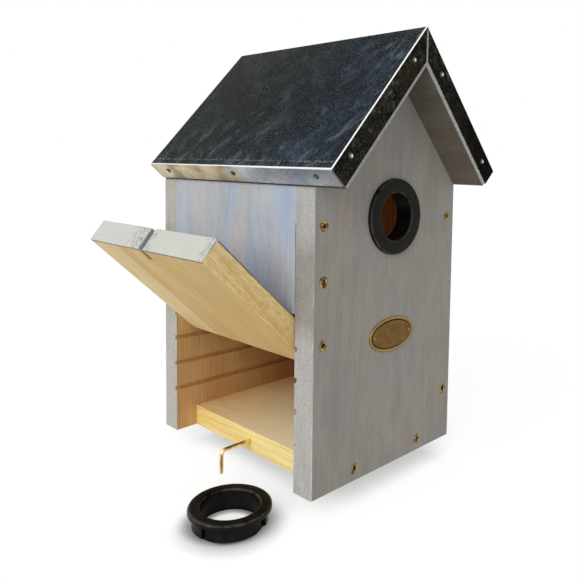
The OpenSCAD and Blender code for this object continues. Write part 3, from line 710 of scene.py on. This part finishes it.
dress(plated_steel("yellow_zinc_plated_steel", "b19a66", "382a17", 0.3),
      "front_pivot_screw", "back_pivot_screw", "front_panel_screws", "back_panel_screws",
      "front_wall_screws", "back_wall_screws", "front_floor_screws", "back_floor_screws")


# ---- Roof nails ----
# Galvanised nails with domed heads, through the folded edges of the sheet into the roof boards.

def nail_steel(name, axis):
    """Galvanised steel for nails along axis, with a painted highlight in the middle of the head and
    a painted shade at its rim.
    """
    mat = new_material(name)
    facing = add(mat, "TexCoord", out="Normal")
    straight = add(mat, "VectorMath", {0: facing, 1: axis}, out="Value", operation="DOT_PRODUCT")
    # Painted highlight in the middle of the head, painted shade at its rim.
    colour = add(mat, "ValToRGB", {0: straight}, stops=[
        (0.6, "3a3a36"), (0.86, "5c5c57"), (0.95, "a9aaa6"), (0.985, "eeeeea")])
    pitted = add(mat, "TexNoise", {"Vector": in_mm(mat), "Scale": 1.5, "Detail": 3.0})
    rough = add(mat, "MapRange", {"Value": pitted, "To Min": 0.15, "To Max": 0.35})
    bump = add(mat, "Bump", {"Strength": 0.3, "Distance": 0.0001, "Height": pitted})
    surface(mat, {"Base Color": colour, "Metallic": 1.0, "Roughness": rough, "Normal": bump})
    return mat


dress(nail_steel("galvanised_nail_gable", (0, -1, 0)), "front_left_nails", "front_right_nails")
for side, where in ((-1, "left"), (1, "right")):
    dress(nail_steel("galvanised_nail_" + where,
                     (side * math.cos(roof_pitch), 0, -math.sin(roof_pitch))),
          where + "_eave_nails")


# ---- Oval plate ----
# A small oval of pressed brass on the front board, held by two pins. It has a raised rim, a
# pressed line inside it that has gone dark, and a plain field.

plate_half_width = 20 * MM
plate_half_height = 10.5 * MM
# Its middle is this far right of the board's and this far above the board's lower edge.
plate_right = 1.6 * MM
plate_rise = 80.7 * MM
plate_middle = Vector((plate_right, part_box("front_wall")[0][1],
                       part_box("front_wall")[0][2] + plate_rise))
RIM, LINE, FIELD = 0, 1, 2
# Distance in from the outline and height over the board, both in mm, and the finish from there.
plate_profile = [(0, 0, RIM), (0, 0.35, RIM), (0.15, 0.6, RIM), (0.45, 0.75, RIM),
                 (1.35, 0.75, RIM), (1.6, 0.6, RIM), (1.75, 0.35, LINE), (2.25, 0.35, LINE),
                 (2.45, 0.55, FIELD), (2.8, 0.62, FIELD), (5.5, 0.68, FIELD), (8.2, 0.7, FIELD)]
plate_steps = 96
pin_from_middle = 15.8 * MM
# Radius and height over the board, both in mm.
pin_profile = [(0.95, 0.6), (0.9, 0.85), (0.65, 1.05), (0.3, 1.15)]
pin_steps = 20


def oval(mesh, x, half_width, half_height, height, steps):
    """A ring of points at the plate's level, round x and in front of the board by height."""
    turns = [2 * math.pi * i / steps for i in range(steps)]
    return [mesh.verts.new((x + half_width * math.cos(turn), plate_middle.y - height,
                            plate_middle.z + half_height * math.sin(turn))) for turn in turns]


def close_up(mesh, rows, finishes):
    """Joins rings of points into a closed body. finishes has one for each band and the top."""
    for low, high, finish in zip(rows, rows[1:], finishes):
        for i in range(len(low)):
            j = (i + 1) % len(low)
            mesh.faces.new((low[i], low[j], high[j], high[i])).material_index = finish
    mesh.faces.new(rows[-1]).material_index = finishes[-1]
    mesh.faces.new(list(reversed(rows[0])))


def pressed_plate():
    mesh = bmesh.new()
    rows = [oval(mesh, plate_middle.x, plate_half_width - inset * MM,
                 plate_half_height - inset * MM, height * MM, plate_steps)
            for inset, height, finish in plate_profile]
    close_up(mesh, rows, [finish for inset, height, finish in plate_profile])
    for side in (-1, 1):
        rows = [oval(mesh, plate_middle.x + side * pin_from_middle, radius * MM, radius * MM,
                     height * MM, pin_steps) for radius, height in pin_profile]
        close_up(mesh, rows, [RIM] * len(rows))
    bmesh.ops.recalc_face_normals(mesh, faces=mesh.faces)
    for face in mesh.faces:
        face.smooth = True
    data = bpy.data.meshes.new("oval_plate")
    mesh.to_mesh(data)
    mesh.free()
    made = bpy.data.objects.new("oval_plate", data)
    bpy.context.scene.collection.objects.link(made)
    data.materials.append(dull_brass("pressed_brass_rim", "9a7f4e", 0.35, "e2dccf"))
    data.materials.append(dull_brass("oxidised_brass_line", "2e2110", 0.6))
    data.materials.append(dull_brass("pressed_brass_field", "765a31", 0.4, "e0d6c4"))
    return made


oval_plate = pressed_plate()
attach(oval_plate, "box")


# ---- Studio ----
# A plain white floor under the spare ring, a soft lamp far to the left and an even grey sky. The
# floor and the sky show white to the eye and in metal, and light the object less than that.

def toward_eye(mat):
    """1 for what the eye, metal or glass sees, and 0 for what lights a matt surface."""
    seen = add(mat, "LightPath", out="Is Camera Ray")
    for ray in ("Is Glossy Ray", "Is Transmission Ray"):
        seen = add(mat, "Math", {0: seen, 1: add(mat, "LightPath", out=ray)}, operation="MAXIMUM")
    return seen


floor_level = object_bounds()[0][2] - 0.2 * MM
floor_reach = 6.0
floor_data = bpy.data.meshes.new("studio_floor")
floor_data.from_pydata([(-floor_reach, -floor_reach, floor_level),
                        (floor_reach, -floor_reach, floor_level),
                        (floor_reach, floor_reach, floor_level),
                        (-floor_reach, floor_reach, floor_level)], [], [(0, 1, 2, 3)])
floor = bpy.data.objects.new("studio_floor", floor_data)
bpy.context.scene.collection.objects.link(floor)
floor_paper = new_material("white_paper_floor")
seen = toward_eye(floor_paper)
# The paper is bright all round, so its shadow is mostly the dim places close to the object: under
# the front, under the open left side, a wide one to the right and back, and round the spare ring.
# Each has its reach in metres, the way that it looks, how open a spot is where the shade is full
# and where it ends, and how bright the full shade is.
dim_places = ((0.024, (0.35, -0.75, 0.6), 0.44, 0.64, 0.42),
              (0.04, (-0.85, 0.1, 0.5), 0.3, 0.75, 0.5),
              (0.12, (-0.65, -0.6, 0.35), 0.35, 0.8, 0.5),
              (0.014, (0, 0, 1), 0.4, 1.0, 0.45))
shade = None
for reach, (right, back, up), shut_in, open_enough, darkest in dim_places:
    toward = add(floor_paper, "CombineXYZ", {0: right, 1: back, 2: up})
    near = add(floor_paper, "AmbientOcclusion", {"Distance": reach, "Normal": toward},
               out="AO", samples=24)
    near = add(floor_paper, "MapRange", {"Value": near, "From Min": shut_in,
                                         "From Max": open_enough, "To Min": darkest,
                                         "To Max": 1.0})
    if shade:
        near = add(floor_paper, "Math", {0: shade, 1: near}, operation="MULTIPLY")
    shade = near
# Light falls straight down through the spare ring.
ring_low, ring_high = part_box("spare_ring")
ring_middle = ((ring_low[0] + ring_high[0]) / 2, (ring_low[1] + ring_high[1]) / 2, floor_level)
from_middle = add(floor_paper, "VectorMath", {
    0: add(floor_paper, "TexCoord", out="Object"), 1: ring_middle}, out="Value",
    operation="DISTANCE")
lit = add(floor_paper, "MapRange", {"Value": from_middle, "From Min": 15.5 * MM,
                                    "From Max": 11 * MM, "To Min": 0.0, "To Max": 0.85})
shade = add(floor_paper, "Math", {0: shade, 1: lit}, operation="MAXIMUM")
shown = add(floor_paper, "Math", {0: shade, 1: 0.93}, operation="MULTIPLY")
surface(floor_paper, {
    "Base Color": add(floor_paper, "MapRange", {"Value": seen, "To Min": 0.85, "To Max": 0.1}),
    "Roughness": 1.0, "Specular IOR Level": 0.0, "Emission Color": (1, 1, 1, 1),
    "Emission Strength": add(floor_paper, "Math", {0: seen, 1: shown}, operation="MULTIPLY")})
floor_data.materials.append(floor_paper)

sky = bpy.data.worlds.new("studio_sky")
sky.use_nodes = True
bpy.context.scene.world = sky
strength = add(sky, "MapRange", {"Value": toward_eye(sky), "To Min": 0.45, "To Max": 1.0})
connect(sky, sky.node_tree.nodes["Background"], {"Color": (1, 1, 1, 1), "Strength": strength})

lamp_data = bpy.data.lights.new("soft_key", "SUN")
lamp_data.energy = 0.72 * math.pi
lamp_data.angle = math.radians(50)
lamp = bpy.data.objects.new("soft_key", lamp_data)
lamp.rotation_euler = Vector((-0.85, -0.15, 0.5)).to_track_quat("Z", "Y").to_euler()
bpy.context.scene.collection.objects.link(lamp)

# The eye stands off the front left corner and looks a little down.
camera_data = bpy.data.cameras.new("eye")
camera_data.sensor_width = 36
camera_data.lens = 39.97
camera_data.shift_x = -0.1423
camera_data.shift_y = -0.1406
camera_data.clip_start = 0.02
camera = bpy.data.objects.new("eye", camera_data)
camera.location = (-0.29196, -0.39909, 0.18338)
camera.rotation_euler = Euler((math.radians(85.863), math.radians(-1.098),
                               math.radians(-47.817)))
bpy.context.scene.collection.objects.link(camera)
bpy.context.scene.camera = camera

bpy.context.scene.view_settings.view_transform = "Standard"
